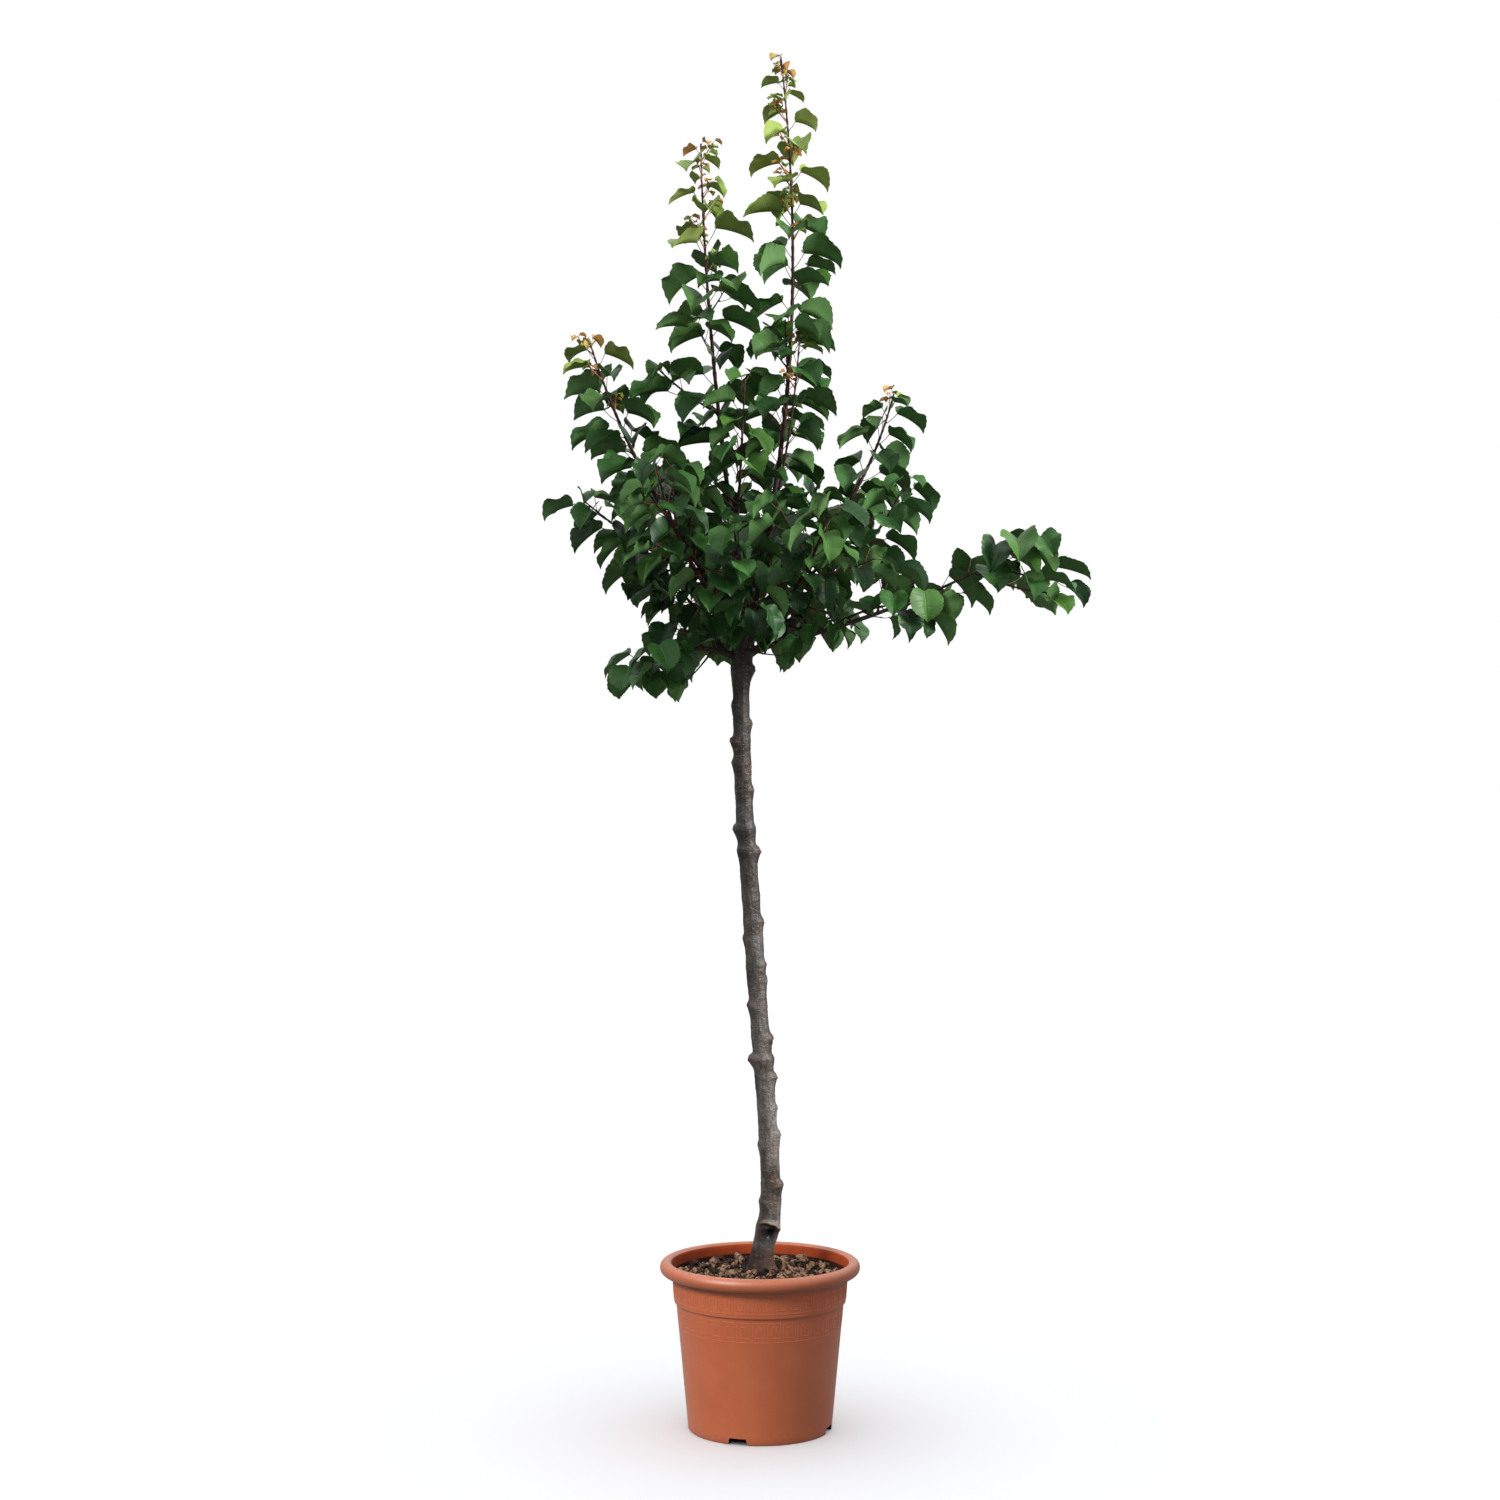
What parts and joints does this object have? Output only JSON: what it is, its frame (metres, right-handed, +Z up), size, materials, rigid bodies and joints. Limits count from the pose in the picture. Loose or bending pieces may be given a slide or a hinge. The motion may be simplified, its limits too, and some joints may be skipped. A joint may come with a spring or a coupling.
{
  "type": "potted apricot tree",
  "caption": "Young standard apricot tree with a clear knotty stem and a loose, upright crown of folded leaves, standing in a round plastic nursery pot.",
  "frame": {"origin": "middle of the pot's flat underside", "axes": "+Z up, +X to the right and +Y to the back in the picture's view"},
  "size_m": [1.0925, 0.7084, 2.7558],
  "materials": {
    "terracotta_plastic": "satin moulded plastic",
    "potting_mix": "rough compost with bark chips",
    "trunk_bark": "grey-brown bark with knots and lenticels",
    "bough_bark": "smooth dark young bark",
    "foliage": "satin leaves on thin twigs"
  },
  "bodies": {
    "root": {"pot": "terracotta_plastic", "soil": "potting_mix", "trunk": "trunk_bark", "leader_right_bough": "bough_bark", "leader_left_bough": "bough_bark", "left_upper_bough": "bough_bark", "left_outer_bough": "bough_bark", "left_low_bough": "bough_bark", "left_mid_bough": "bough_bark", "red_shoot_bough": "bough_bark", "right_upper_bough": "bough_bark", "right_mid_bough": "bough_bark", "right_long_bough": "bough_bark", "right_hanging_bough": "bough_bark", "right_low_bough": "bough_bark", "front_left_bough": "bough_bark", "front_right_bough": "bough_bark", "front_centre_bough": "bough_bark", "front_low_bough": "bough_bark", "centre_up_bough": "bough_bark", "back_left_bough": "bough_bark", "back_mid_bough": "bough_bark", "back_right_bough": "bough_bark", "back_low_bough": "bough_bark", "back_low_right_bough": "bough_bark", "leader_right": "foliage", "leader_left": "foliage", "left_upper": "foliage", "left_outer": "foliage", "left_low": "foliage", "left_mid": "foliage", "red_shoot": "foliage", "right_upper": "foliage", "right_mid": "foliage", "right_long": "foliage", "right_hanging": "foliage", "right_low": "foliage", "front_left": "foliage", "front_right": "foliage", "front_centre": "foliage", "front_low": "foliage", "centre_up": "foliage", "back_left": "foliage", "back_mid": "foliage", "back_right": "foliage", "back_low": "foliage", "back_low_right": "foliage"}
  },
  "joints": []
}
